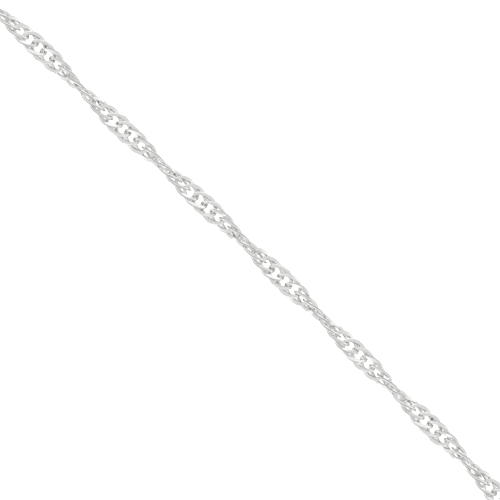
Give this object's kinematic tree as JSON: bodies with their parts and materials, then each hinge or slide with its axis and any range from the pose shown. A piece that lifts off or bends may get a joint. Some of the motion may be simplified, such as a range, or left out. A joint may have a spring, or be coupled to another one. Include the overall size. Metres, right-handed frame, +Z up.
{
  "type": "singapore chain necklace",
  "caption": "Fine twisted curb-link neck chain in polished silver, laid out flat in a loop and closed with a small ring clasp.",
  "frame": {"origin": "middle of the loop's outer box, on the surface that the chain lies on", "axes": "+X along the front of the loop, +Y from the clasp at the back towards the front, +Z up"},
  "size_m": [0.1756, 0.0982, 0.003],
  "materials": {
    "chain_silver": "flattened and polished silver",
    "fitting_silver": "polished silver"
  },
  "bodies": {
    "root": {"chain_links": "chain_silver", "chain_back": "chain_silver", "end_ring": "fitting_silver", "jump_ring": "fitting_silver", "clasp": "fitting_silver"}
  },
  "joints": []
}
